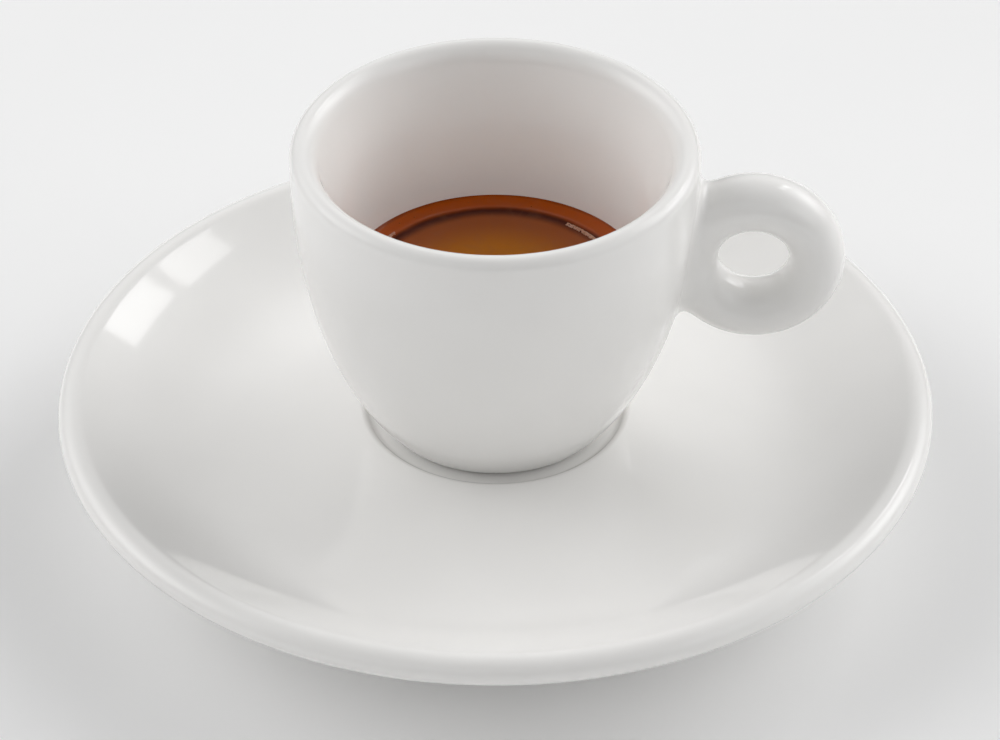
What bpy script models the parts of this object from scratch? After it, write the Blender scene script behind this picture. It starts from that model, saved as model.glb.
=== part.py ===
"""A short espresso in its thick porcelain cup, standing on the saucer.

Lengths are metres. The origin is on the table under the middle of the saucer, +Z is up and the
cup's handle points along +X. Every radius is measured from the upright axis of cup and saucer.
"""

import math

import bpy
from mathutils import Vector
from mathutils.geometry import interpolate_bezier

MM = 0.001

# Gap kept between pieces that touch
CLEARANCE = 0.3 * MM

# Saucer, seen from above: a shallow well for the cup, a raised collar round it, a valley and the rim
SAUCER_RADIUS = 65.0 * MM
RIM_HALF_WIDTH = 2.5 * MM
RIM_HALF_HEIGHT = 2.2 * MM
RIM_Z = 18.3 * MM
WELL_RADIUS = 19.05 * MM
WELL_FLOOR_Z = 16.7 * MM
WELL_EDGE_Z = 17.6 * MM
WELL_EDGE_STEEPNESS = 50.0
COLLAR_SLOPE = 0.18
VALLEY_RADIUS = 43.0 * MM
VALLEY_Z = 14.2 * MM

# Saucer, seen from below: an even wall and a tall foot ring
SAUCER_THICKNESS = 4.9 * MM
SAUCER_FOOT_RADIUS = 35.2 * MM
SAUCER_FOOT_WIDTH = 3.6 * MM
SAUCER_FOOT_ROUNDING = 0.7 * MM

# Cup
CUP_FOOT_Z = WELL_FLOOR_Z + CLEARANCE
CUP_FOOT_WIDTH = 3.6 * MM
CUP_FOOT_ROUNDING = 1.6 * MM
HEEL_LEAN = 43.0
CUP_FOOT_RECESS = 0.9 * MM
CUP_TOP_Z = 63.95 * MM
LIP_RADIUS = 29.65 * MM
LIP_ROUNDING = 1.65 * MM
WALL_DEPTH = 53.6 * MM
WALL_POWER = 2.22
BOWL_FLOOR_Z = 20.6 * MM
BOWL_WAIST = (22.1 * MM, 40.1 * MM)
WAIST_LEAN = 0.08
MOUTH_LEAN = 0.30
MOUTH_ROUNDING = (2.8 * MM, 5.0 * MM)

# Handle: a fat upright ring whose near side is sunk in the cup's wall
HANDLE_X = 37.6 * MM
HANDLE_Z = 45.9 * MM
HANDLE_RING_RADIUS = 9.2 * MM
HANDLE_HALF_WIDTH = 4.1 * MM
HANDLE_HALF_THICKNESS = 4.7 * MM
HANDLE_BACKING = 1.0 * MM

# Espresso
ESPRESSO_Z = BOWL_WAIST[1]

# Facets
SAUCER_SEGMENTS = 80
CUP_SEGMENTS = 64
WALL_STEPS = 9
BOWL_STEPS = 6
HANDLE_SEGMENTS = 36
HANDLE_SECTION_SEGMENTS = 16
MERGE_DISTANCE = 0.01 * MM


def clear_scene():
    """Empties the file of whatever it opened with."""
    for item in list(bpy.data.objects):
        bpy.data.objects.remove(item, do_unlink=True)


def finish(name, colour, roughness):
    """A glossy dielectric material of one colour."""
    material = bpy.data.materials.new(name)
    material.use_nodes = True
    shader = material.node_tree.nodes["Principled BSDF"]
    shader.inputs["Base Color"].default_value = (*colour, 1.0)
    shader.inputs["Roughness"].default_value = roughness
    shader.inputs["Metallic"].default_value = 0.0
    material.diffuse_color = (*colour, 1.0)
    return material


def arc(centre, radii, start, end, steps):
    """Points of an elliptical arc in the (radius, height) plane, its angles in degrees from +radius."""
    points = []
    for step in range(steps + 1):
        angle = math.radians(start + (end - start) * step / steps)
        points.append((centre[0] + radii[0] * math.cos(angle), centre[1] + radii[1] * math.sin(angle)))
    return points


def sweep(start, start_handle, end_handle, end, count):
    """Points strictly between the ends of a cubic curve in the (radius, height) plane."""
    knots = [Vector((*point, 0.0)) for point in (start, start_handle, end_handle, end)]
    points = interpolate_bezier(*knots, count + 2)
    return [(point.x, point.y) for point in points[1:-1]]


def turned(name, profile, segments, closed=False):
    """A solid turned about its own Z axis. Its profile runs down its outer side."""
    count = len(profile)
    edges = [(index, index + 1) for index in range(count - 1)]
    if closed:
        edges.append((count - 1, 0))
    mesh = bpy.data.meshes.new(name)
    mesh.from_pydata([(radius, 0.0, height) for radius, height in profile], edges, [])
    body = bpy.data.objects.new(name, mesh)
    bpy.context.scene.collection.objects.link(body)
    screw = body.modifiers.new("Turning", "SCREW")
    screw.axis = "Z"
    screw.angle = 2.0 * math.pi
    screw.steps = segments
    screw.render_steps = segments
    screw.use_smooth_shade = True
    screw.use_merge_vertices = True
    screw.merge_threshold = MERGE_DISTANCE
    return body


def combine(body, operation, other):
    """Joins another solid to a body, or cuts it out of the body."""
    boolean = body.modifiers.new(other.name, "BOOLEAN")
    boolean.operation = operation
    boolean.solver = "EXACT"
    boolean.object = other


def rim_point(angle):
    """A point of the saucer's rounded rim and the rim's direction there, angle in degrees."""
    turn = math.radians(angle)
    centre = SAUCER_RADIUS - RIM_HALF_WIDTH
    point = (centre + RIM_HALF_WIDTH * math.cos(turn), RIM_Z + RIM_HALF_HEIGHT * math.sin(turn))
    slope = -RIM_HALF_HEIGHT * math.cos(turn) / (RIM_HALF_WIDTH * math.sin(turn))
    return point, slope


def along(point, slope, run):
    """The point reached from another one by going run outwards at a slope."""
    return (point[0] + run, point[1] + slope * run)


def saucer_top():
    """The upper face from the middle of the well to where the rim's round begins."""
    # Two rounds of one radius meet halfway up the well's edge, where it is steepest
    steepest = math.radians(WELL_EDGE_STEEPNESS)
    rounding = (WELL_EDGE_Z - WELL_FLOOR_Z) / (2.0 * (1.0 - math.cos(steepest)))
    reach = rounding * math.sin(steepest)
    radii = (rounding, rounding)
    valley = (VALLEY_RADIUS, VALLEY_Z)
    rim, rim_slope = rim_point(120.0)
    points = [(0.0, WELL_FLOOR_Z)]
    points += arc((WELL_RADIUS - reach, WELL_FLOOR_Z + rounding), radii, -90.0, WELL_EDGE_STEEPNESS - 90.0, 3)
    points += arc((WELL_RADIUS + reach, WELL_EDGE_Z - rounding), radii, WELL_EDGE_STEEPNESS + 90.0, 80.0, 3)[1:]
    start = points[-1]
    collar_run = (valley[0] - start[0]) / 3.0
    points += sweep(start, along(start, -COLLAR_SLOPE, collar_run), along(valley, 0.0, -collar_run), valley, 3)
    points.append(valley)
    rise_run = (rim[0] - valley[0]) / 3.0
    points += sweep(valley, along(valley, 0.0, rise_run), along(rim, rim_slope, -rise_run), rim, 3)
    return points


def saucer_underside():
    """The lower face from the rim's round to the middle, down and up again round the foot ring."""
    rim, rim_slope = rim_point(-100.0)
    rounding = SAUCER_FOOT_ROUNDING
    foot_outside = (SAUCER_FOOT_RADIUS, rounding)
    foot_inside = (SAUCER_FOOT_RADIUS - SAUCER_FOOT_WIDTH, rounding)
    ceiling_z = WELL_FLOOR_Z - SAUCER_THICKNESS
    ceiling = (foot_inside[0] - SAUCER_THICKNESS, ceiling_z)
    belly = (VALLEY_RADIUS + SAUCER_THICKNESS, VALLEY_Z - SAUCER_THICKNESS)
    belly_slope = (rim[1] - belly[1]) / (rim[0] - belly[0])
    rim_run = (rim[0] - belly[0]) / 3.0
    neck_run = (belly[0] - foot_outside[0]) * 0.8
    neck_rise = belly[1] * 0.35
    points = sweep(rim, along(rim, rim_slope, -rim_run), along(belly, belly_slope, rim_run), belly, 2)
    points.append(belly)
    neck_handle = (foot_outside[0] + rounding, foot_outside[1] + neck_rise)
    points += sweep(belly, along(belly, belly_slope, -neck_run), neck_handle, foot_outside, 3)
    points += arc((foot_outside[0] - rounding, rounding), (rounding, rounding), 0.0, -90.0, 2)
    points += arc((foot_inside[0] + rounding, rounding), (rounding, rounding), -90.0, -180.0, 2)
    shoulder = (foot_inside[0], ceiling_z - SAUCER_THICKNESS)
    points.append(shoulder)
    points += sweep(shoulder, (shoulder[0], ceiling_z), (shoulder[0], ceiling_z), ceiling, 2)
    points += [ceiling, (0.0, ceiling_z)]
    return points


def make_saucer():
    """The saucer, one solid of even thickness with a thick round rim."""
    rim_centre = (SAUCER_RADIUS - RIM_HALF_WIDTH, RIM_Z)
    rim = arc(rim_centre, (RIM_HALF_WIDTH, RIM_HALF_HEIGHT), 120.0, -100.0, 7)
    saucer = turned("saucer", saucer_top() + rim + saucer_underside(), SAUCER_SEGMENTS)
    saucer.data.materials.append(finish("Saucer porcelain", (0.80, 0.80, 0.79), 0.12))
    return saucer


def mouth_rounding():
    """The round of the lip's inner side, from the bowl's mouth to the lip's crest."""
    across, high = MOUTH_ROUNDING
    centre = (LIP_RADIUS - LIP_ROUNDING, CUP_TOP_Z - high)
    start = math.degrees(math.atan(MOUTH_LEAN * high / across))
    return arc(centre, (across, high), 180.0 - start, 90.0, 4)


def below_waist():
    """The bowl's section from the middle of its floor to its waist, where the drink's level is."""
    floor = (0.0, BOWL_FLOOR_Z)
    down = 0.62 * (BOWL_WAIST[1] - floor[1])
    handle = (BOWL_WAIST[0] - WAIST_LEAN * down, BOWL_WAIST[1] - down)
    return [floor] + sweep(floor, (0.55 * BOWL_WAIST[0], floor[1]), handle, BOWL_WAIST, BOWL_STEPS) + [BOWL_WAIST]


def above_waist():
    """The bowl's section above its waist, flaring up to its mouth."""
    mouth = mouth_rounding()[0]
    up = (mouth[1] - BOWL_WAIST[1]) / 3.0
    start_handle = (BOWL_WAIST[0] + WAIST_LEAN * up, BOWL_WAIST[1] + up)
    end_handle = (mouth[0] - MOUTH_LEAN * up, mouth[1] - up)
    return sweep(BOWL_WAIST, start_handle, end_handle, mouth, 3) + [mouth]


def offset(points, gap):
    """A section moved by a gap to its left side, with its ends moved straight up and straight inwards."""
    moved = [(0.0, points[0][1] + gap)]
    for before, point, after in zip(points, points[1:], points[2:]):
        run, rise = after[0] - before[0], after[1] - before[1]
        length = math.hypot(run, rise)
        moved.append((point[0] - gap * rise / length, point[1] + gap * run / length))
    return moved + [(points[-1][0] - gap, points[-1][1])]


def outer_radius(height):
    """Outer radius of the cup's wall, a superellipse that is upright at the lip and cut off by the foot."""
    share = (CUP_TOP_Z - LIP_ROUNDING - height) / WALL_DEPTH
    return LIP_RADIUS * math.sqrt(1.0 - share**WALL_POWER)


def cup_profile():
    """The cup's section from the bowl's floor, over the lip and down to the middle of its foot."""
    lip_z = CUP_TOP_Z - LIP_ROUNDING
    # The heel's round goes on from the wall's lean above the foot
    lean = math.radians(HEEL_LEAN)
    heel_z = CUP_FOOT_Z + CUP_FOOT_ROUNDING * (1.0 - math.sin(lean))
    lip = (LIP_RADIUS - LIP_ROUNDING, lip_z)
    points = below_waist() + above_waist() + mouth_rounding()[1:]
    points += arc(lip, (LIP_ROUNDING, LIP_ROUNDING), 90.0, 0.0, 3)[1:]
    for step in range(WALL_STEPS - 1, 0, -1):
        height = heel_z + (lip_z - heel_z) * step / WALL_STEPS
        points.append((outer_radius(height), height))
    heel = (outer_radius(heel_z) - CUP_FOOT_ROUNDING * math.cos(lean), CUP_FOOT_Z + CUP_FOOT_ROUNDING)
    points += arc(heel, (CUP_FOOT_ROUNDING, CUP_FOOT_ROUNDING), -HEEL_LEAN, -90.0, 2)
    foot_inside = heel[0] - CUP_FOOT_WIDTH
    recess_z = CUP_FOOT_Z + CUP_FOOT_RECESS
    points += [(foot_inside, CUP_FOOT_Z), (foot_inside - CUP_FOOT_RECESS, recess_z), (0.0, recess_z)]
    return points


def make_bowl_clearing():
    """What the ring stays out of: the bowl and the inner part of the wall that backs the ring."""
    wall = offset(below_waist() + above_waist(), -HANDLE_BACKING)
    clearing = turned("bowl_clearing", [(0.0, wall[-1][1])] + wall[::-1], CUP_SEGMENTS)
    clearing.hide_render = True
    clearing.display_type = "WIRE"
    return clearing


def make_handle_ring():
    """The ring that the cup is joined with, turned about Z and then stood upright."""
    section = arc(
        (HANDLE_RING_RADIUS, 0.0), (HANDLE_HALF_WIDTH, HANDLE_HALF_THICKNESS), 0.0, -360.0, HANDLE_SECTION_SEGMENTS
    )
    ring = turned("handle_ring", section[:-1], HANDLE_SEGMENTS, closed=True)
    ring.location = (HANDLE_X, 0.0, HANDLE_Z)
    ring.rotation_euler = (math.radians(90.0), 0.0, 0.0)
    ring.hide_render = True
    ring.display_type = "WIRE"
    combine(ring, "DIFFERENCE", make_bowl_clearing())
    return ring


def make_cup():
    """The cup with its ring handle, one solid of fired porcelain."""
    cup = turned("cup", cup_profile(), CUP_SEGMENTS)
    cup.data.materials.append(finish("Cup porcelain", (0.80, 0.80, 0.79), 0.10))
    combine(cup, "UNION", make_handle_ring())
    return cup


def make_espresso():
    """The drink, solid from the bowl's floor up to its level."""
    wall = offset(below_waist(), CLEARANCE)
    espresso = turned("espresso", [(0.0, ESPRESSO_Z)] + wall[::-1], CUP_SEGMENTS)
    espresso.data.materials.append(finish("Espresso", (0.19, 0.06, 0.012), 0.15))
    return espresso


clear_scene()
make_saucer()
make_cup()
make_espresso()
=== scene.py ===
"""Looks of a short espresso in its thick porcelain cup, standing on the saucer.

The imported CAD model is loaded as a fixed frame: origin on the table under the middle of the saucer,
+Z up, the cup's handle along +X, and the viewer of the photograph on the -Y side.
Sizes are millimetres in the classes below and metres in the meshes.
"""

import logging
import math
from dataclasses import dataclass, field
from enum import Enum

import bmesh
import bpy
import numpy as np
from mathutils import Matrix, Vector


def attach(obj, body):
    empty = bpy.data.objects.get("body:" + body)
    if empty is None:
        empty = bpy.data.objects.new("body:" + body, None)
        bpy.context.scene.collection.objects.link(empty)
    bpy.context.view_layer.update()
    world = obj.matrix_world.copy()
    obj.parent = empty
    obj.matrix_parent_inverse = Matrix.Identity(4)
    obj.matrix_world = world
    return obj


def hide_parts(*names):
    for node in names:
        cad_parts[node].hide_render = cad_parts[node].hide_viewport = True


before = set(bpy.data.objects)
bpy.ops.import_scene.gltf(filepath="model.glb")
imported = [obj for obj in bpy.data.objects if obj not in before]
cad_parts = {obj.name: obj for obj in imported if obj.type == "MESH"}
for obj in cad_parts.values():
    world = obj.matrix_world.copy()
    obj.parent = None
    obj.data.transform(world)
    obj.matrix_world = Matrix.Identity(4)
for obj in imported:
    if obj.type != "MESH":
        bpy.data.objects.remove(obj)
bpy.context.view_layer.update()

LOG = logging.getLogger("espresso")
MM = 0.001
BODY = "root"
FAR_OFF = 100.0

Points = list[tuple[float, float]]
Term = bpy.types.NodeSocket | float


class Slot(Enum):
    """The record's material slots."""

    SAUCER = "saucer_porcelain"
    CUP = "cup_porcelain"
    DRINK = "espresso"


# Small helpers


def linear(code: str) -> tuple[float, float, float, float]:
    """Turns an sRGB hex colour into the linear colour that shaders use.

    Args:
        code: Six hex digits after a hash sign.

    Returns:
        Red, green, blue and an alpha of one.
    """
    parts = [int(code[start : start + 2], 16) / 255.0 for start in (1, 3, 5)]
    red, green, blue = (
        part / 12.92 if part <= 0.04045 else ((part + 0.055) / 1.055) ** 2.4 for part in parts
    )
    return red, green, blue, 1.0


def add_node(
    tree: bpy.types.NodeTree, kind: str, inputs: dict | None = None, **settings: object
) -> bpy.types.Node:
    """Adds one node to a shader or geometry tree.

    Args:
        tree: The tree it goes into.
        kind: Blender's name for the node type.
        inputs: Values or other nodes' output sockets, by the name or number of this node's input.
        settings: The node's own attributes.

    Returns:
        The new node.
    """
    node = tree.nodes.new(kind)
    for name, value in settings.items():
        setattr(node, name, value)
    for key, value in (inputs or {}).items():
        if isinstance(value, bpy.types.NodeSocket):
            tree.links.new(value, node.inputs[key])
        else:
            node.inputs[key].default_value = value
    return node


def new_piece(name: str, mesh: bpy.types.Mesh) -> bpy.types.Object:
    """Puts a mesh in the scene as an object at the origin.

    Args:
        name: The piece's name.
        mesh: Its mesh, in metres.

    Returns:
        The object.
    """
    piece = bpy.data.objects.new(name, mesh)
    bpy.context.scene.collection.objects.link(piece)
    return piece


def settle(piece: bpy.types.Object) -> None:
    """Makes what a piece's modifiers give its own plain mesh with one finish, and removes the modifiers.

    Args:
        piece: The object with live modifiers.
    """
    graph = bpy.context.evaluated_depsgraph_get()
    mesh = bpy.data.meshes.new_from_object(piece.evaluated_get(graph))
    mesh.name = piece.name
    piece.modifiers.clear()
    piece.data = mesh
    finishes = [finish for finish in mesh.materials if finish]
    mesh.materials.clear()
    mesh.polygons.foreach_set("material_index", [0] * len(mesh.polygons))
    for finish in finishes[:1]:
        mesh.materials.append(finish)


def hand_over(piece: bpy.types.Object, replaced: str | None = None) -> None:
    """Gives a finished piece to the frame and reports it.

    Args:
        piece: The object, with its place in its mesh.
        replaced: The CAD node that it stands for, if it stands for one.
    """
    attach(piece, BODY)
    if replaced:
        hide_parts(replaced)
    LOG.info("%s: %d faces, finish %s", piece.name, len(piece.data.polygons), piece.data.materials[0].name)


def add_tree_input(tree: bpy.types.NodeTree, name: str, kind: str) -> None:
    """Adds one named input to a geometry tree."""
    tree.interface.new_socket(name=name, in_out="INPUT", socket_type=kind)


def add_tree_modifier(piece: bpy.types.Object, tree: bpy.types.NodeTree, values: dict[str, object]) -> None:
    """Puts a geometry tree on a piece with its inputs set by their identifiers.

    Args:
        piece: The object to work on.
        tree: The geometry tree.
        values: What each named input gets.
    """
    modifier = piece.modifiers.new(tree.name, "NODES")
    modifier.node_group = tree
    for item in tree.interface.items_tree:
        if item.in_out == "INPUT" and item.name in values:
            modifier[item.identifier] = values[item.name]


def arc(
    centre: tuple[float, float], radii: tuple[float, float], start: float, end: float, steps: int
) -> Points:
    """Points of an elliptical arc in the (radius, height) plane.

    Args:
        centre: The ellipse's centre.
        radii: Its half width and half height.
        start: First angle in degrees, counted from +radius towards +height.
        end: Last angle.
        steps: How many chords it has.

    Returns:
        The points, both ends included.
    """
    angles = np.radians(np.linspace(start, end, steps + 1))
    return [(centre[0] + radii[0] * math.cos(a), centre[1] + radii[1] * math.sin(a)) for a in angles]


def sweep(knots: Points, steps: int) -> Points:
    """Points of a cubic Bezier curve in the (radius, height) plane, without its two ends.

    Args:
        knots: Start, start handle, end handle and end.
        steps: How many chords it has.

    Returns:
        The points between the ends.
    """
    share = np.linspace(0.0, 1.0, steps + 1)[1:-1, None]
    first, second, third, fourth = (np.array(knot) for knot in knots)
    curve = first * (1 - share) ** 3 + 3 * second * share * (1 - share) ** 2
    curve = curve + 3 * third * share**2 * (1 - share) + fourth * share**3
    return [tuple(point) for point in curve]


def along(point: tuple[float, float], slope: float, run: float) -> tuple[float, float]:
    """The point reached from another one by going run outwards at a slope."""
    return point[0] + run, point[1] + slope * run


# Turned forms: what a potter's jigger makes, an outline swept about the upright axis


def make_turning_tree() -> bpy.types.NodeTree:
    """Builds the tree that sweeps an outline about the upright axis and closes it at its poles.

    Returns:
        A geometry tree whose inputs are the outline, its segments, the merge distance and the finish.
    """
    tree = bpy.data.node_groups.new("Turned on the wheel", "GeometryNodeTree")
    add_tree_input(tree, "Outline", "NodeSocketGeometry")
    add_tree_input(tree, "Segments", "NodeSocketInt")
    add_tree_input(tree, "Merge distance", "NodeSocketFloat")
    add_tree_input(tree, "Finish", "NodeSocketMaterial")
    tree.interface.new_socket(name="Form", in_out="OUTPUT", socket_type="NodeSocketGeometry")
    given = add_node(tree, "NodeGroupInput").outputs
    radius = 10.0 * MM
    outline = add_node(tree, "GeometryNodeMeshToCurve", {"Mesh": given["Outline"]})
    # The sweep puts a profile's X outwards from the circle and its Y downwards, so both are undone here
    moves = {"Translation": (-radius, 0.0, 0.0), "Scale": (1.0, -1.0, 1.0)}
    placed = add_node(tree, "GeometryNodeTransform", {"Geometry": outline.outputs["Curve"], **moves})
    circle = add_node(
        tree, "GeometryNodeCurvePrimitiveCircle", {"Resolution": given["Segments"], "Radius": radius}
    )
    swept = add_node(
        tree,
        "GeometryNodeCurveToMesh",
        {"Curve": circle.outputs["Curve"], "Profile Curve": placed.outputs["Geometry"]},
    )
    closed = add_node(
        tree,
        "GeometryNodeMergeByDistance",
        {"Geometry": swept.outputs["Mesh"], "Distance": given["Merge distance"]},
    )
    smooth = add_node(tree, "GeometryNodeSetShadeSmooth", {"Geometry": closed.outputs["Geometry"]})
    real = add_node(tree, "GeometryNodeRealizeInstances", {"Geometry": smooth.outputs["Geometry"]})
    dressed = add_node(
        tree, "GeometryNodeSetMaterial", {"Geometry": real.outputs["Geometry"], "Material": given["Finish"]}
    )
    add_node(tree, "NodeGroupOutput", {"Form": dressed.outputs["Geometry"]})
    return tree


def turn(
    name: str, outline: Points, segments: int, finish: bpy.types.Material, closed: bool = False
) -> bpy.types.Object:
    """Turns an outline into a plain smooth mesh.

    Args:
        name: The piece's name.
        outline: Its (radius, height) points in millimetres, running down the outer side.
        segments: How many steps a full turn has.
        finish: The material it gets.
        closed: Whether the outline is a loop, as a ring's section is.

    Returns:
        The turned object, with no modifier left.
    """
    count = len(outline)
    edges = [(index, index + 1) for index in range(count - 1)] + ([(count - 1, 0)] if closed else [])
    mesh = bpy.data.meshes.new(name)
    mesh.from_pydata([(radius * MM, height * MM, 0.0) for radius, height in outline], edges, [])
    piece = new_piece(name, mesh)
    tree = bpy.data.node_groups.get("Turned on the wheel") or make_turning_tree()
    add_tree_modifier(piece, tree, {"Segments": segments, "Merge distance": 0.001 * MM, "Finish": finish})
    settle(piece)
    return piece


# Finishes


@dataclass(frozen=True)
class GlazedPorcelain:
    """Hard white porcelain, slip-fired and dipped in a clear glossy glaze.

    The eye sees an even cool white with sharp mirror highlights. They bend a little where the glaze
    ran in the kiln. The foot ring it stood on in the kiln has no glaze and is matt and a shade warmer.
    """

    white: str = "#F4F3F1"
    pooled: str = "#EEEDEB"
    bare: str = "#DDD8CE"
    roughness: float = 0.07
    bare_roughness: float = 0.75
    ior: float = 1.5
    run_length: float = 14.0
    run_height: float = 0.012
    peel_length: float = 1.6
    peel_height: float = 0.0006
    gloss_spread: tuple[float, float] = (0.8, 1.25)
    bare_height: float | None = None
    bare_wander: float = 0.5
    bare_blend: float = 0.1

    def material(self, name: str) -> bpy.types.Material:
        """Builds the material.

        Args:
            name: Its name in the file.

        Returns:
            A procedural material on Object coordinates.
        """
        made = bpy.data.materials.new(name)
        made.use_nodes = True
        tree = made.node_tree
        shader = tree.nodes["Principled BSDF"]
        shader.inputs["IOR"].default_value = self.ior
        place = add_node(tree, "ShaderNodeTexCoord").outputs["Object"]
        runs = add_node(
            tree,
            "ShaderNodeTexNoise",
            {"Vector": place, "Scale": 1.0 / (self.run_length * MM), "Detail": 1.0, "Roughness": 0.4},
        )
        peel = add_node(
            tree,
            "ShaderNodeTexNoise",
            {"Vector": place, "Scale": 1.0 / (self.peel_length * MM), "Detail": 1.0, "Roughness": 0.5},
        )
        tint = add_node(
            tree,
            "ShaderNodeMix",
            {"Factor": runs.outputs["Fac"], 6: linear(self.white), 7: linear(self.pooled)},
            data_type="RGBA",
        )
        low, high = self.gloss_spread
        gloss = add_node(
            tree,
            "ShaderNodeMapRange",
            {"Value": peel.outputs["Fac"], "To Min": self.roughness * low, "To Max": self.roughness * high},
        )
        colour, rough = tint.outputs[2], gloss.outputs["Result"]
        if self.bare_height is not None:
            height = add_node(tree, "ShaderNodeSeparateXYZ", {"Vector": place}).outputs["Z"]
            # The glaze was wiped off up to a slightly wavy line round the foot ring
            edge = add_node(
                tree,
                "ShaderNodeMath",
                {0: runs.outputs["Fac"], 1: self.bare_wander * MM, 2: height},
                operation="MULTIPLY_ADD",
            )
            bare = add_node(
                tree,
                "ShaderNodeMapRange",
                {
                    "Value": edge.outputs["Value"],
                    "From Min": (self.bare_height + self.bare_blend) * MM,
                    "From Max": (self.bare_height - self.bare_blend) * MM,
                },
            ).outputs["Result"]
            colour = add_node(
                tree,
                "ShaderNodeMix",
                {"Factor": bare, 6: colour, 7: linear(self.bare)},
                data_type="RGBA",
            ).outputs[2]
            rough = add_node(
                tree, "ShaderNodeMix", {"Factor": bare, 2: rough, 3: self.bare_roughness}, data_type="FLOAT"
            ).outputs[0]
        tree.links.new(colour, shader.inputs["Base Color"])
        tree.links.new(rough, shader.inputs["Roughness"])
        wave = add_node(
            tree,
            "ShaderNodeBump",
            {"Height": runs.outputs["Fac"], "Distance": self.run_height * MM, "Strength": 1.0},
        )
        skin = add_node(
            tree,
            "ShaderNodeBump",
            {
                "Height": peel.outputs["Fac"],
                "Distance": self.peel_height * MM,
                "Strength": 1.0,
                "Normal": wave.outputs["Normal"],
            },
        )
        tree.links.new(skin.outputs["Normal"], shader.inputs["Normal"])
        return made


@dataclass(frozen=True)
class Espresso:
    """Coffee under a thin smooth crema, a foam of bubbles too fine to see in an oily film.

    The eye sees an orange-brown band where the foam climbs the wall, a soft dark line of painted shade,
    and a calm middle that goes from red-brown to golden brown, with a wet gloss that the foam breaks
    up a little. The red-brown is partly the drink's own colour and partly a painted reflection of the
    cup's pale wall. Each band is a distance from the wall.
    """

    wall: str = "#8A3A06"
    band: str = "#B04C00"
    # Painted shade: a dark line where the edge of the crema's ridge lies in shadow
    painted_shade_line: str = "#4A1602"
    # Partly the drink's own red-brown and partly a painted reflection of the cup's pale wall
    inner_with_painted_reflection: str = "#9A4E1E"
    middle: str = "#B66A08"
    thin: str = "#8A5A3C"
    band_start: float = 0.6
    band_end: float = 2.5
    painted_shade_line_at: float = 3.6
    inner_with_painted_reflection_at: float = 5.6
    middle_at: float = 14.0
    wander: float = 0.4
    wander_length: float = 9.0
    streak_length: float = 3.2
    streak_share: float = 0.14
    streak_range: tuple[float, float] = (0.5, 0.75)
    roughness: float = 0.1
    gloss_spread: tuple[float, float] = (0.7, 1.4)
    gloss: float = 0.3
    ior: float = 1.34

    def material(self, name: str, wall_radius: float) -> bpy.types.Material:
        """Builds the material.

        Args:
            name: Its name in the file.
            wall_radius: Radius of the drink's edge, in millimetres.

        Returns:
            A procedural material on Object coordinates.
        """
        made = bpy.data.materials.new(name)
        made.use_nodes = True
        tree = made.node_tree
        shader = tree.nodes["Principled BSDF"]
        shader.inputs["IOR"].default_value = self.ior
        shader.inputs["Specular IOR Level"].default_value = self.gloss
        place = add_node(tree, "ShaderNodeTexCoord").outputs["Object"]
        flat = add_node(
            tree, "ShaderNodeVectorMath", {0: place, 1: (1.0, 1.0, 0.0)}, operation="MULTIPLY"
        ).outputs[0]
        radius = add_node(tree, "ShaderNodeVectorMath", {0: flat}, operation="LENGTH").outputs["Value"]
        # The bands wander over about a centimetre, as foam does once the stream has stopped
        drift = add_node(
            tree,
            "ShaderNodeTexNoise",
            {"Vector": place, "Scale": 1.0 / (self.wander_length * MM), "Detail": 2.0},
        )
        wander = add_node(
            tree,
            "ShaderNodeMath",
            {0: drift.outputs["Fac"], 1: 2.0 * self.wander * MM, 2: radius},
            operation="MULTIPLY_ADD",
        )
        from_wall = add_node(
            tree,
            "ShaderNodeMapRange",
            {
                "Value": wander.outputs["Value"],
                "From Min": (wall_radius + self.wander) * MM,
                "From Max": (wall_radius + self.wander - self.middle_at) * MM,
            },
        )
        ramp = add_node(tree, "ShaderNodeValToRGB", {"Fac": from_wall.outputs["Result"]})
        # The dark stop is painted shade, and the inner stop is partly a painted reflection of the cup's pale
        # wall
        stops = (
            (0.0, self.wall),
            (self.band_start, self.band),
            (self.band_end, self.band),
            (self.painted_shade_line_at, self.painted_shade_line),
            (self.inner_with_painted_reflection_at, self.inner_with_painted_reflection),
            (self.middle_at, self.middle),
        )
        elements = ramp.color_ramp.elements
        for index, (distance, colour) in enumerate(stops):
            place_on_ramp = distance / self.middle_at
            stop = elements[index] if index < 2 else elements.new(place_on_ramp)
            stop.position = place_on_ramp
            stop.color = linear(colour)
        ramp.color_ramp.interpolation = "EASE"
        # Paler streaks drawn out by the stream's swirl, and the foam's own fine grain
        streaks = add_node(
            tree,
            "ShaderNodeTexNoise",
            {"Vector": place, "Scale": 1.0 / (self.streak_length * MM), "Detail": 3.0, "Distortion": 1.6},
        ).outputs["Fac"]
        share = add_node(
            tree,
            "ShaderNodeMapRange",
            {
                "Value": streaks,
                "From Min": self.streak_range[0],
                "From Max": self.streak_range[1],
                "To Max": self.streak_share,
            },
        ).outputs["Result"]
        colour = add_node(
            tree,
            "ShaderNodeMix",
            {"Factor": share, 6: ramp.outputs["Color"], 7: linear(self.thin)},
            data_type="RGBA",
        ).outputs[2]
        low, high = self.gloss_spread
        gloss = add_node(
            tree,
            "ShaderNodeMapRange",
            {"Value": streaks, "To Min": self.roughness * low, "To Max": self.roughness * high},
        )
        tree.links.new(colour, shader.inputs["Base Color"])
        tree.links.new(gloss.outputs["Result"], shader.inputs["Roughness"])
        return made


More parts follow.
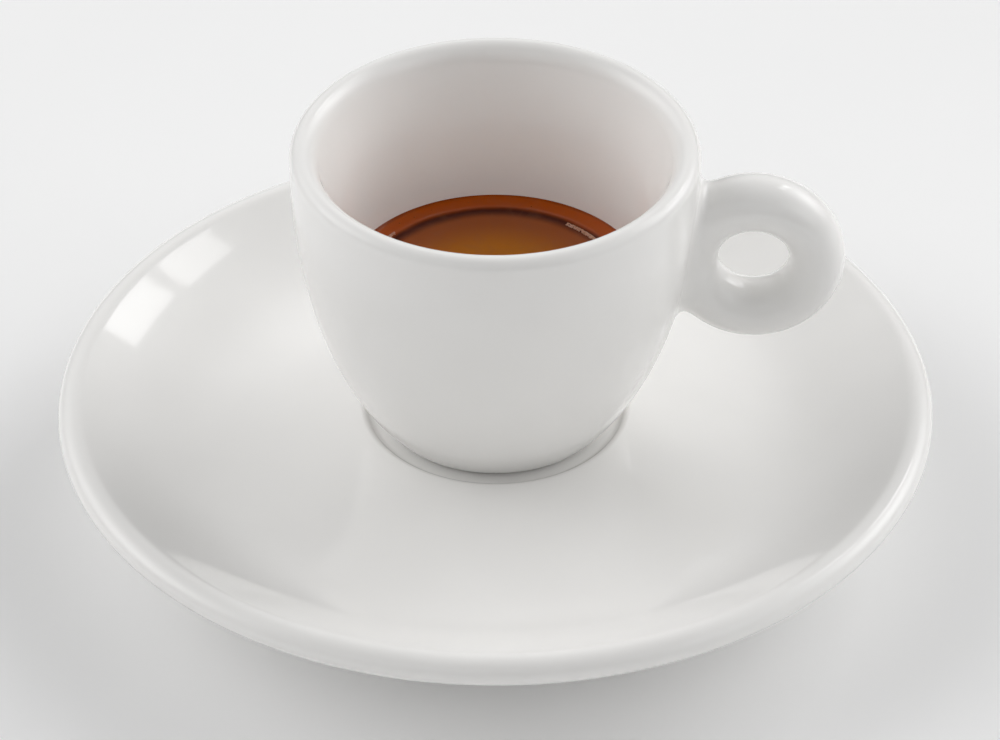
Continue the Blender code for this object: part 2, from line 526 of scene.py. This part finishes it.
@dataclass(frozen=True)
class MattStudioBoard:
    """Painted studio board, rolled matt white: no gloss, with a very faint unevenness of the paint."""

    paint: str = "#FAFAFA"
    shade: str = "#F6F6F6"
    roughness: float = 0.9
    patch_length: float = 60.0

    def material(self, name: str) -> bpy.types.Material:
        """Builds the material.

        Args:
            name: Its name in the file.

        Returns:
            A procedural material on Object coordinates.
        """
        made = bpy.data.materials.new(name)
        made.use_nodes = True
        tree = made.node_tree
        shader = tree.nodes["Principled BSDF"]
        shader.inputs["Roughness"].default_value = self.roughness
        shader.inputs["Specular IOR Level"].default_value = 0.0
        place = add_node(tree, "ShaderNodeTexCoord").outputs["Object"]
        patches = add_node(
            tree, "ShaderNodeTexNoise", {"Vector": place, "Scale": 1.0 / (self.patch_length * MM)}
        )
        paint = add_node(
            tree,
            "ShaderNodeMix",
            {"Factor": patches.outputs["Fac"], 6: linear(self.paint), 7: linear(self.shade)},
            data_type="RGBA",
        )
        tree.links.new(paint.outputs[2], shader.inputs["Base Color"])
        return made


# Sub-assemblies


@dataclass
class Saucer:
    """The saucer: a shallow well, a raised collar round it, a valley, a thick round rim and a foot ring."""

    radius: float = 65.0
    rim_half_width: float = 2.5
    rim_half_height: float = 2.2
    rim_z: float = 18.3
    well_radius: float = 19.05
    well_floor_z: float = 16.7
    well_edge_z: float = 17.6
    well_edge_steepness: float = 50.0
    collar_slope: float = 0.18
    valley_radius: float = 43.0
    valley_z: float = 14.2
    thickness: float = 4.9
    foot_radius: float = 35.2
    foot_width: float = 3.6
    foot_rounding: float = 0.7
    segments: int = 216
    finish: GlazedPorcelain = GlazedPorcelain(bare_height=0.55)

    def rim_point(self, angle: float) -> tuple[tuple[float, float], float]:
        """A point of the rounded rim and the rim's slope there.

        Args:
            angle: Angle in degrees round the rim's own centre.

        Returns:
            The (radius, height) point and the slope.
        """
        turned = math.radians(angle)
        across, up = self.rim_half_width * math.cos(turned), self.rim_half_height * math.sin(turned)
        slope = -self.rim_half_height * math.cos(turned) / (self.rim_half_width * math.sin(turned))
        return (self.radius - self.rim_half_width + across, self.rim_z + up), slope

    def top(self) -> Points:
        """The upper face from the middle of the well to where the rim's round begins.

        Returns:
            Its (radius, height) points.
        """
        # Two rounds of one radius meet halfway up the well's edge, where it is steepest
        steepness = self.well_edge_steepness
        steepest = math.radians(steepness)
        rounding = (self.well_edge_z - self.well_floor_z) / (2.0 * (1.0 - math.cos(steepest)))
        reach = rounding * math.sin(steepest)
        radii = (rounding, rounding)
        valley = (self.valley_radius, self.valley_z)
        rim, rim_slope = self.rim_point(120.0)
        points = [(0.0, self.well_floor_z), (0.5 * self.well_radius, self.well_floor_z)]
        hollow = (self.well_radius - reach, self.well_floor_z + rounding)
        points += arc(hollow, radii, -90.0, steepness - 90.0, 10)
        crest = (self.well_radius + reach, self.well_edge_z - rounding)
        points += arc(crest, radii, steepness + 90.0, 80.0, 12)[1:]
        start = points[-1]
        run = (valley[0] - start[0]) / 3.0
        points += sweep([start, along(start, -self.collar_slope, run), along(valley, 0.0, -run), valley], 30)
        points.append(valley)
        run = (rim[0] - valley[0]) / 3.0
        points += sweep([valley, along(valley, 0.0, run), along(rim, rim_slope, -run), rim], 30)
        return points

    def underside(self) -> Points:
        """The lower face from the rim's round to the middle, down and up again round the foot ring.

        Returns:
            Its (radius, height) points.
        """
        rim, rim_slope = self.rim_point(-100.0)
        rounding = self.foot_rounding
        radii = (rounding, rounding)
        outside = (self.foot_radius, rounding)
        inside = (self.foot_radius - self.foot_width, rounding)
        ceiling_z = self.well_floor_z - self.thickness
        ceiling = (inside[0] - self.thickness, ceiling_z)
        belly = (self.valley_radius + self.thickness, self.valley_z - self.thickness)
        slope = (rim[1] - belly[1]) / (rim[0] - belly[0])
        run = (rim[0] - belly[0]) / 3.0
        neck_run = (belly[0] - outside[0]) * 0.8
        neck = (outside[0] + rounding, outside[1] + belly[1] * 0.35)
        points = sweep([rim, along(rim, rim_slope, -run), along(belly, slope, run), belly], 20)
        points.append(belly)
        points += sweep([belly, along(belly, slope, -neck_run), neck, outside], 20)
        points += arc((outside[0] - rounding, rounding), radii, 0.0, -90.0, 6)
        points += arc((inside[0] + rounding, rounding), radii, -90.0, -180.0, 6)
        shoulder = (inside[0], ceiling_z - self.thickness)
        points.append(shoulder)
        points += sweep([shoulder, (shoulder[0], ceiling_z), (shoulder[0], ceiling_z), ceiling], 12)
        return points + [ceiling, (0.0, ceiling_z)]

    def build(self) -> bpy.types.Object:
        """Makes the saucer as one smooth turned shell and gives it to the frame.

        Returns:
            The finished piece.
        """
        centre = (self.radius - self.rim_half_width, self.rim_z)
        rim = arc(centre, (self.rim_half_width, self.rim_half_height), 120.0, -100.0, 24)
        outline = self.top() + rim + self.underside()
        finish = self.finish.material("Glazed porcelain, saucer")
        piece = turn("saucer_glazed", outline, self.segments, finish)
        hand_over(piece, "saucer")
        return piece


@dataclass
class RingHandle:
    """The handle: a fat upright ring with an elliptical section, its near side sunk in the cup's wall."""

    x: float = 37.6
    z: float = 45.9
    ring_radius: float = 9.2
    half_width: float = 4.1
    half_thickness: float = 4.7
    segments: int = 72
    section_segments: int = 32

    def mesh(self, finish: bpy.types.Material) -> bpy.types.Mesh:
        """The plain ring, stood upright at its place.

        Args:
            finish: The material it gets.

        Returns:
            Its mesh, in metres.
        """
        radii = (self.half_width, self.half_thickness)
        section = arc((self.ring_radius, 0.0), radii, 0.0, -360.0, self.section_segments)[:-1]
        ring = turn("ring", section, self.segments, finish, closed=True)
        mesh = ring.data
        upright = Matrix.Rotation(math.radians(90.0), 4, "X")
        mesh.transform(Matrix.Translation((self.x * MM, 0.0, self.z * MM)) @ upright)
        bpy.data.objects.remove(ring)
        return mesh

    def distance(self, points: np.ndarray) -> tuple[np.ndarray, np.ndarray]:
        """How far points are outside the ring, near its surface.

        Args:
            points: Rows of x, y, z in millimetres.

        Returns:
            The distances, and the outward directions.
        """
        across, up = points[:, 0] - self.x, points[:, 2] - self.z
        radius = np.hypot(across, up)
        out = radius - self.ring_radius
        depth = points[:, 1]
        size = np.hypot(out / self.half_width, depth / self.half_thickness)
        steep_out, steep_depth = out / self.half_width**2, depth / self.half_thickness**2
        steep = np.maximum(np.hypot(steep_out, steep_depth), 1e-6)
        away = np.stack([steep_out * across / radius, steep_depth, steep_out * up / radius], axis=1)
        return size * (size - 1.0) / steep, away / steep[:, None]


@dataclass
class Cup:
    """The cup: a thick superellipse wall, a bowl that flares to the lip, a low foot and a ring handle.

    The wall and the handle flow into each other with a soft fillet, as slip-cast porcelain does. The
    fillet is worked out on the signed distances of both: the mesh is remeshed and each of its points
    is moved onto the surface where their smooth minimum is zero. Settling takes a few rounds, and in
    some of them the points are evened out among their neighbours first.
    """

    foot_z: float = 17.0
    foot_width: float = 3.6
    foot_rounding: float = 1.6
    foot_recess: float = 0.9
    top_z: float = 63.95
    lip_radius: float = 29.65
    lip_rounding: float = 1.65
    wall_depth: float = 53.6
    wall_power: float = 2.22
    bowl_floor_z: float = 20.6
    bowl_waist: tuple[float, float] = (22.1, 40.1)
    waist_lean: float = 0.08
    mouth_lean: float = 0.30
    mouth_rounding: tuple[float, float] = (2.8, 5.0)
    fillet: float = 3.0
    bowl_guard: float = 1.2
    voxel: float = 0.56
    settling_rounds: int = 7
    evened_rounds: tuple[int, ...] = (1, 2, 3)
    segments: int = 128
    handle: RingHandle = field(default_factory=RingHandle)
    finish: GlazedPorcelain = GlazedPorcelain()

    def bowl(self) -> Points:
        """The bowl's section from the middle of its floor, by waist and mouth, to the lip's crest.

        Returns:
            Its (radius, height) points.
        """
        floor, waist = (0.0, self.bowl_floor_z), self.bowl_waist
        across, high = self.mouth_rounding
        centre = (self.lip_radius - self.lip_rounding, self.top_z - high)
        start = math.degrees(math.atan(self.mouth_lean * high / across))
        lip = arc(centre, (across, high), 180.0 - start, 90.0, 20)
        mouth = lip[0]
        down, up = 0.62 * (waist[1] - floor[1]), (mouth[1] - waist[1]) / 3.0
        below = (waist[0] - self.waist_lean * down, waist[1] - down)
        above = (waist[0] + self.waist_lean * up, waist[1] + up)
        under_mouth = (mouth[0] - self.mouth_lean * up, mouth[1] - up)
        points = [floor] + sweep([floor, (0.55 * waist[0], floor[1]), below, waist], 40) + [waist]
        return points + sweep([waist, above, under_mouth, mouth], 30) + lip

    def bowl_radius(self, height: np.ndarray | float) -> np.ndarray | float:
        """Inner radius of the bowl at a height."""
        radii, heights = np.array(self.bowl()).T
        return np.interp(height, heights, radii)

    def outer_radius(self, height: float) -> float:
        """Outer radius of the wall, a superellipse cut off by the foot, at a height."""
        share = (self.top_z - self.lip_rounding - height) / self.wall_depth
        return self.lip_radius * math.sqrt(1.0 - share**self.wall_power)

    def outline(self) -> Points:
        """The section from the bowl's floor, over the lip and down to the middle of the foot.

        Returns:
            Its (radius, height) points.
        """
        lip_z = self.top_z - self.lip_rounding
        lip = (self.lip_radius - self.lip_rounding, lip_z)
        points = self.bowl() + arc(lip, (self.lip_rounding, self.lip_rounding), 90.0, 0.0, 14)[1:]
        # The heel's round starts where the wall leans in as the round does
        heel_z = self.foot_z + self.foot_rounding
        for _ in range(4):
            lean = math.atan((self.outer_radius(heel_z + 0.01) - self.outer_radius(heel_z - 0.01)) / 0.02)
            heel_z = self.foot_z + self.foot_rounding * (1.0 - math.sin(lean))
        points += [(self.outer_radius(height), height) for height in np.linspace(lip_z, heel_z, 90)[1:-1]]
        heel_radius = self.outer_radius(heel_z) - self.foot_rounding * math.cos(lean)
        heel = (heel_radius, self.foot_z + self.foot_rounding)
        points += arc(heel, (self.foot_rounding, self.foot_rounding), -math.degrees(lean), -90.0, 8)
        inside = heel[0] - self.foot_width
        recess_z = self.foot_z + self.foot_recess
        return points + [(inside, self.foot_z), (inside - self.foot_recess, recess_z), (0.0, recess_z)]

    def wall_distance(self, points: np.ndarray) -> tuple[np.ndarray, np.ndarray]:
        """How far points are outside the turned wall, near its surface.

        Args:
            points: Rows of x, y, z in millimetres.

        Returns:
            The distances, and the outward directions.
        """
        outline = np.array(self.outline())
        start, step = outline[:-1], np.diff(outline, axis=0)
        length = np.hypot(step[:, 0], step[:, 1])
        facing = np.stack([-step[:, 1], step[:, 0]], axis=1) / length[:, None]
        corner = np.vstack([facing[:1], facing[:-1] + facing[1:], facing[-1:]])
        corner /= np.hypot(corner[:, 0], corner[:, 1])[:, None]
        radius = np.maximum(np.hypot(points[:, 0], points[:, 1]), 1e-9)
        flat = np.stack([radius, points[:, 2]], axis=1)
        value, direction = np.empty(len(flat)), np.empty_like(flat)
        for low in range(0, len(flat), 4000):
            some = flat[low : low + 4000]
            gap = some[:, None, :] - start[None]
            share = np.clip((gap * step[None]).sum(axis=2) / length[None] ** 2, 0.0, 1.0)
            apart = gap - share[..., None] * step[None]
            nearest = (apart**2).sum(axis=2).argmin(axis=1)
            rows = np.arange(len(some))
            part = share[rows, nearest][:, None]
            normal = corner[nearest] * (1.0 - part) + corner[nearest + 1] * part
            normal /= np.hypot(normal[:, 0], normal[:, 1])[:, None]
            value[low : low + 4000] = (apart[rows, nearest] * normal).sum(axis=1)
            direction[low : low + 4000] = normal
        out, up = direction.T
        return value, np.stack([out * points[:, 0] / radius, out * points[:, 1] / radius, up], axis=1)

    def distance(self, points: np.ndarray) -> tuple[np.ndarray, np.ndarray]:
        """How far points are outside the wall and handle together, with the fillet between them.

        Args:
            points: Rows of x, y, z in millimetres.

        Returns:
            The distances, and the outward slopes.
        """
        wall, wall_away = self.wall_distance(points)
        ring, ring_away = self.handle.distance(points)
        # The handle counts as far off on the bowl's side, so that the bowl stays as it was turned
        guarded = self.bowl_radius(points[:, 2]) + self.bowl_guard
        ring = np.where(np.hypot(points[:, 0], points[:, 1]) < guarded, FAR_OFF, ring)
        share = np.clip(0.5 + 0.5 * (ring - wall) / self.fillet, 0.0, 1.0)
        value = ring + (wall - ring) * share - self.fillet * share * (1.0 - share)
        away = wall_away * share[:, None] + ring_away * (1.0 - share[:, None])
        return value, away

    def settle_on_surface(self, mesh: bpy.types.Mesh) -> None:
        """Evens out a mesh's points and moves them exactly onto the filleted surface, with its normals.

        Args:
            mesh: The remeshed cup, in metres.
        """
        count = len(mesh.vertices)
        points = np.empty(count * 3)
        mesh.vertices.foreach_get("co", points)
        points = points.reshape(-1, 3) / MM
        ends = np.empty(len(mesh.edges) * 2, dtype=np.int64)
        mesh.edges.foreach_get("vertices", ends)
        near, far = ends[0::2], ends[1::2]
        both, other = np.concatenate([near, far]), np.concatenate([far, near])
        neighbours = np.bincount(both, minlength=count)
        for settling in range(self.settling_rounds):
            if settling in self.evened_rounds:
                mean = np.stack(
                    [np.bincount(both, points[other, axis], count) / neighbours for axis in range(3)], axis=1
                )
                points = 0.5 * (points + mean)
            value, away = self.distance(points)
            steep = np.maximum((away**2).sum(axis=1), 0.1)
            points -= (value / steep)[:, None] * away
        value, away = self.distance(points)
        LOG.info("cup: points within %.4f mm of the filleted surface", float(np.abs(value).max()))
        mesh.vertices.foreach_set("co", (points * MM).ravel())
        mesh.update()
        away /= np.linalg.norm(away, axis=1)[:, None]
        mesh.normals_split_custom_set_from_vertices(away.tolist())

    def build(self) -> bpy.types.Object:
        """Makes the cup with its handle as one smooth shell and gives it to the frame.

        Returns:
            The finished piece.
        """
        finish = self.finish.material("Glazed porcelain, cup")
        body = turn("cup_glazed", self.outline(), self.segments, finish)
        both = bmesh.new()
        both.from_mesh(body.data)
        both.from_mesh(self.handle.mesh(finish))
        both.to_mesh(body.data)
        both.free()
        remesh = body.modifiers.new("One skin", "REMESH")
        remesh.mode = "VOXEL"
        remesh.voxel_size = self.voxel * MM
        remesh.use_smooth_shade = True
        settle(body)
        if not body.data.materials:
            body.data.materials.append(finish)
        self.settle_on_surface(body.data)
        hand_over(body, "cup")
        return body


@dataclass
class Drink:
    """The espresso: it fills the bowl up to its level, with a low ridge of crema and a climbed edge."""

    edge_z: float = 40.1
    into_wall: float = 0.35
    climb: float = 0.4
    climb_width: float = 0.7
    ridge: float = 0.17
    ridge_from_wall: float = 3.0
    ridge_width: float = 0.5
    coarse_until: float = 6.0
    coarse_rings: int = 24
    fine_from: float = 5.9
    fine_rings: int = 70
    below_level: float = 0.5
    segments: int = 192
    finish: Espresso = Espresso()

    def level_z(self) -> float:
        """Height of the calm surface, below the edge that has climbed the wall."""
        return self.edge_z - self.climb

    def surface(self, from_wall: float) -> float:
        """Height of the surface, which climbs the wall and has a low ridge where the crema ends.

        Args:
            from_wall: Distance from the wall, in millimetres.

        Returns:
            The height in millimetres.
        """
        climbed = self.climb * math.exp(-max(from_wall, 0.0) / self.climb_width)
        ridge = self.ridge * math.exp(-(((from_wall - self.ridge_from_wall) / self.ridge_width) ** 2))
        return self.level_z() + climbed + ridge

    def build(self, cup: Cup) -> bpy.types.Object:
        """Makes the drink, reaching just into the bowl's wall, and gives it to the frame.

        Args:
            cup: The cup that it fills.

        Returns:
            The finished piece.
        """
        wall = float(cup.bowl_radius(self.edge_z))
        coarse = np.linspace(0.0, wall - self.coarse_until, self.coarse_rings)
        rings = np.concatenate([coarse, np.linspace(wall - self.fine_from, wall, self.fine_rings)])
        outline = [(float(radius), self.surface(wall - radius)) for radius in rings]
        outline.append((wall + self.into_wall, outline[-1][1]))
        top = self.level_z() - self.below_level
        below = [(radius, height) for radius, height in cup.bowl() if height < top]
        outline += [(radius + self.into_wall, height - self.into_wall) for radius, height in below[:0:-1]]
        outline.append((0.0, cup.bowl_floor_z - self.into_wall))
        finish = self.finish.material("Espresso with thin crema", wall)
        piece = turn("espresso_drink", outline, self.segments, finish)
        hand_over(piece, "espresso")
        return piece


@dataclass(frozen=True)
class BubbleFilm:
    """Coffee film over air: a thin, very glossy brown skin that is lighter than the drink under it."""

    skin: str = "#A0500E"
    thin: str = "#B0682A"
    shade_length: float = 1.5
    roughness: float = 0.04
    ior: float = 1.34

    def material(self, name: str) -> bpy.types.Material:
        """Builds the material.

        Args:
            name: Its name in the file.

        Returns:
            A procedural material on Object coordinates.
        """
        made = bpy.data.materials.new(name)
        made.use_nodes = True
        tree = made.node_tree
        shader = tree.nodes["Principled BSDF"]
        shader.inputs["IOR"].default_value = self.ior
        shader.inputs["Roughness"].default_value = self.roughness
        place = add_node(tree, "ShaderNodeTexCoord").outputs["Object"]
        # One shade for about each bubble
        shade = add_node(
            tree,
            "ShaderNodeTexNoise",
            {"Vector": place, "Scale": 1.0 / (self.shade_length * MM), "Detail": 0.0},
        )
        film = add_node(
            tree,
            "ShaderNodeMix",
            {"Factor": shade.outputs["Fac"], 6: linear(self.skin), 7: linear(self.thin)},
            data_type="RGBA",
        )
        tree.links.new(film.outputs[2], shader.inputs["Base Color"])
        return made


# A film paler than the froth itself, so that its colour is partly a painted glint of the lamps
PALE_FROTH_AND_GLINT = BubbleFilm("#B9805F", "#D9B09A")


@dataclass(frozen=True)
class BubblePatch:
    """Where one lot of bubbles floats: between two angles and within a ring, and how big they are."""

    name: str
    count: int
    seed: int
    from_wall: float
    ring_width: float
    angles: tuple[float, float]
    smallest: float
    largest: float
    film: BubbleFilm


@dataclass
class CremaBubbles:
    """Small bubbles left in the crema: some along the wall, and two rafts of pale froth at its edge, whose
    film is painted paler as a painted glint of the lamps.
    """

    patches: tuple[BubblePatch, ...] = (
        BubblePatch("crema_bubbles", 40, 11, 0.4, 3.0, (0.0, 360.0), 0.08, 0.18, BubbleFilm()),
        # The two rafts' pale film is partly painted glint
        BubblePatch("froth_and_glint_right", 420, 5, 3.5, 0.6, (37.0, 57.0), 0.05, 0.12, PALE_FROTH_AND_GLINT),
        BubblePatch("froth_and_glint_left", 150, 8, 2.4, 0.6, (142.0, 149.0), 0.05, 0.12, PALE_FROTH_AND_GLINT),
    )
    level_share: float = 0.3

    def tree(self) -> bpy.types.NodeTree:
        """Builds the tree that strews half-sunk bubbles over part of a ring.

        Returns:
            A geometry tree with named inputs for its sizes and its seed.
        """
        tree = bpy.data.node_groups.new("Bubbles on the crema", "GeometryNodeTree")
        for name, kind in (
            ("Count", "NodeSocketInt"),
            ("Seed", "NodeSocketInt"),
            ("Outer radius", "NodeSocketFloat"),
            ("Ring width", "NodeSocketFloat"),
            ("From angle", "NodeSocketFloat"),
            ("To angle", "NodeSocketFloat"),
            ("Level", "NodeSocketFloat"),
            ("Smallest", "NodeSocketFloat"),
            ("Largest", "NodeSocketFloat"),
            ("Finish", "NodeSocketMaterial"),
        ):
            add_tree_input(tree, name, kind)
        tree.interface.new_socket(name="Bubbles", in_out="OUTPUT", socket_type="NodeSocketGeometry")
        given = add_node(tree, "NodeGroupInput").outputs

        def drawn(lowest: Term, highest: Term, step: float) -> bpy.types.NodeSocket:
            """Draws one number for each bubble, from a seed of its own."""
            seed = add_node(tree, "ShaderNodeMath", {0: given["Seed"], 1: step}, operation="ADD").outputs[0]
            values = {2: lowest, 3: highest, "Seed": seed}
            return add_node(tree, "FunctionNodeRandomValue", values, data_type="FLOAT").outputs[1]

        def worked(operation: str, *terms: Term) -> bpy.types.NodeSocket:
            """Works out one sum of sockets and numbers."""
            return add_node(tree, "ShaderNodeMath", dict(enumerate(terms)), operation=operation).outputs[0]

        angle = drawn(given["From angle"], given["To angle"], 0.0)
        share = drawn(0.0, 1.0, 1.0)
        # The square crowds them towards the wall
        inwards = worked("MULTIPLY", worked("MULTIPLY", share, share), given["Ring width"])
        radius = worked("SUBTRACT", given["Outer radius"], inwards)
        place = add_node(
            tree,
            "ShaderNodeCombineXYZ",
            {
                "X": worked("MULTIPLY", radius, worked("COSINE", angle)),
                "Y": worked("MULTIPLY", radius, worked("SINE", angle)),
                "Z": given["Level"],
            },
        ).outputs[0]
        spots = add_node(tree, "GeometryNodePoints", {"Count": given["Count"], "Position": place})
        dome = add_node(tree, "GeometryNodeMeshIcoSphere", {"Radius": 1.0, "Subdivisions": 2})
        bubbles = add_node(
            tree,
            "GeometryNodeInstanceOnPoints",
            {
                "Points": spots.outputs[0],
                "Instance": dome.outputs["Mesh"],
                "Scale": drawn(given["Smallest"], given["Largest"], 2.0),
            },
        )
        real = add_node(tree, "GeometryNodeRealizeInstances", {"Geometry": bubbles.outputs[0]})
        smooth = add_node(tree, "GeometryNodeSetShadeSmooth", {"Geometry": real.outputs[0]})
        dressed = add_node(
            tree, "GeometryNodeSetMaterial", {"Geometry": smooth.outputs[0], "Material": given["Finish"]}
        )
        add_node(tree, "NodeGroupOutput", {"Bubbles": dressed.outputs[0]})
        return tree

    def build(self, cup: Cup, drink: Drink) -> None:
        """Makes each lot of bubbles as one plain mesh and gives it to the frame.

        Args:
            cup: The cup, for the wall's radius.
            drink: The drink, for the height of its surface.
        """
        tree = self.tree()
        wall = float(cup.bowl_radius(drink.edge_z))
        for patch in self.patches:
            piece = new_piece(patch.name, bpy.data.meshes.new(patch.name))
            values = {
                "Count": patch.count,
                "Seed": patch.seed,
                "Outer radius": (wall - patch.from_wall) * MM,
                "Ring width": patch.ring_width * MM,
                "From angle": math.radians(patch.angles[0]),
                "To angle": math.radians(patch.angles[1]),
                "Level": drink.surface(patch.from_wall + self.level_share * patch.ring_width) * MM,
                "Smallest": patch.smallest * MM,
                "Largest": patch.largest * MM,
                "Finish": patch.film.material(f"Bubble film of coffee, {patch.name}"),
            }
            add_tree_modifier(piece, tree, values)
            settle(piece)
            hand_over(piece)


# The studio and the camera, which aren't part of the object


def compass(turned: float, raised: float) -> Vector:
    """The direction that is turned from the far side (+Y) towards +X, and raised, by so many degrees."""
    across, up = math.radians(turned), math.radians(raised)
    return Vector((math.sin(across) * math.cos(up), math.cos(across) * math.cos(up), math.sin(up)))


@dataclass(frozen=True)
class Softbox:
    """A white cloth-covered lamp: an even rectangle of light aimed at the cup, rolled about its axis."""

    name: str
    turned: float
    raised: float
    rolled: float
    distance: float
    width: float
    height: float
    radiance: float
    aim_z: float = 30.0

    def build(self) -> bpy.types.Object:
        """Hangs the lamp.

        Returns:
            The light, facing the middle of the object.
        """
        light = bpy.data.lights.new(self.name, "AREA")
        light.shape = "RECTANGLE"
        light.size, light.size_y = self.width, self.height
        light.energy = self.radiance * math.pi * self.width * self.height
        lamp = bpy.data.objects.new(self.name, light)
        bpy.context.scene.collection.objects.link(lamp)
        back = compass(self.turned, self.raised)
        aim = Vector((0.0, 0.0, self.aim_z * MM))
        roll = Matrix.Rotation(math.radians(self.rolled), 3, "Z")
        lamp.rotation_euler = (back.to_track_quat("Z", "Y").to_matrix() @ roll).to_euler()
        lamp.location = aim + back * self.distance
        return lamp


@dataclass(frozen=True)
class Glow:
    """One soft patch of light on the tent: brightest in its own direction, fading evenly all round."""

    turned: float
    raised: float
    radiance: float
    tightness: float = 16.0


@dataclass(frozen=True)
class LightTent:
    """White cloth all round the set, lit from outside, so that it glows where a lamp stands behind it."""

    base: float
    glows: tuple[Glow, ...]

    def build(self) -> None:
        """Makes the tent the scene's world."""
        world = bpy.data.worlds.new("light_tent")
        world.use_nodes = True
        tree = world.node_tree
        direction = add_node(tree, "ShaderNodeTexCoord").outputs["Generated"]
        total: Term = self.base
        for glow in self.glows:
            towards = compass(glow.turned, glow.raised)
            facing = add_node(
                tree, "ShaderNodeVectorMath", {0: direction, 1: tuple(towards)}, operation="DOT_PRODUCT"
            ).outputs["Value"]
            fading = add_node(
                tree,
                "ShaderNodeMath",
                {0: facing, 1: glow.tightness, 2: -glow.tightness},
                operation="MULTIPLY_ADD",
            ).outputs[0]
            share = add_node(tree, "ShaderNodeMath", {0: fading}, operation="EXPONENT").outputs[0]
            total = add_node(
                tree, "ShaderNodeMath", {0: share, 1: glow.radiance, 2: total}, operation="MULTIPLY_ADD"
            ).outputs[0]
        tree.links.new(total, tree.nodes["Background"].inputs["Strength"])
        tree.nodes["Background"].inputs["Color"].default_value = (1.0, 1.0, 1.0, 1.0)
        bpy.context.scene.world = world


@dataclass
class Studio:
    """A plain pale floor in a light tent, with one window of two panes.

    A lamp's turn is its compass angle in degrees from the far side (+Y) towards the handle (+X).
    """

    floor_side: float = 8.0
    tent: LightTent = LightTent(
        0.02,
        (
            Glow(0.0, 30.0, 0.56),
            Glow(30.0, 30.0, 0.58),
            Glow(60.0, 30.0, 4.53),
            Glow(90.0, 30.0, 0.32),
            Glow(120.0, 30.0, 1.42),
            Glow(180.0, 30.0, 0.50),
            Glow(210.0, 30.0, 0.77),
            Glow(240.0, 30.0, 0.03),
            Glow(270.0, 30.0, 2.76),
            Glow(300.0, 30.0, 1.99),
            Glow(330.0, 30.0, 0.62),
            Glow(270.0, 60.0, 0.29, 12.0),
        ),
    )
    lamps: tuple[Softbox, ...] = (
        Softbox("window_lower_pane", 36.0, 39.9, 30.0, 2.0, 0.19, 0.40, 3.5),
        Softbox("window_upper_pane", 44.3, 51.2, 30.0, 2.0, 0.19, 0.32, 3.3),
    )
    board: MattStudioBoard = MattStudioBoard()

    def build(self) -> None:
        """Lays the floor, puts up the tent and hangs the lamps."""
        half = self.floor_side / 2.0
        corners = [(-half, -half, 0.0), (half, -half, 0.0), (half, half, 0.0), (-half, half, 0.0)]
        mesh = bpy.data.meshes.new("studio_floor")
        mesh.from_pydata(corners, [], [(0, 1, 2, 3)])
        mesh.materials.append(self.board.material("Matt studio board"))
        floor = new_piece("studio_floor", mesh)
        self.tent.build()
        for lamp in self.lamps:
            lamp.build()
        LOG.info("studio: floor, tent of %d glows and %d lamps", len(self.tent.glows), len(self.lamps))


@dataclass
class PhotoCamera:
    """A long lens at the photograph's viewing angle, worked out from the circles of cup and saucer.

    The pivot is a point on the axis, and the lens looks past it by a little to the right and up.
    """

    azimuth: float = 2.4
    elevation: float = 36.5
    lens: float = 180.0
    distance: float = 745.7
    pivot_z: float = 17.5
    past_right: float = 0.68
    past_up: float = 5.01

    def build(self) -> bpy.types.Object:
        """Sets up the camera and makes it the scene's own.

        Returns:
            The camera.
        """
        turned, raised = math.radians(self.azimuth), math.radians(self.elevation)
        back = Vector(
            (math.sin(turned) * math.cos(raised), -math.cos(turned) * math.cos(raised), math.sin(raised))
        )
        right = Vector((math.cos(turned), math.sin(turned), 0.0))
        up = back.cross(right)
        data = bpy.data.cameras.new("photo_camera")
        data.lens = self.lens
        data.clip_start, data.clip_end = 0.05, 50.0
        camera = bpy.data.objects.new("photo_camera", data)
        bpy.context.scene.collection.objects.link(camera)
        aim = Vector((0.0, 0.0, self.pivot_z)) + right * self.past_right + up * self.past_up
        camera.rotation_euler = Matrix((right, up, back)).transposed().to_euler()
        camera.location = (aim + back * self.distance) * MM
        bpy.context.scene.camera = camera
        return camera


def main() -> None:
    """Builds the object piece by piece, the studio and the camera."""
    logging.basicConfig(level=logging.INFO, format="%(message)s")
    Saucer().build()
    cup = Cup()
    cup.build()
    drink = Drink()
    drink.build(cup)
    CremaBubbles().build(cup, drink)
    Studio().build()
    PhotoCamera().build()
    bpy.context.scene.view_settings.view_transform = "Standard"


if __name__ == "__main__":
    main()
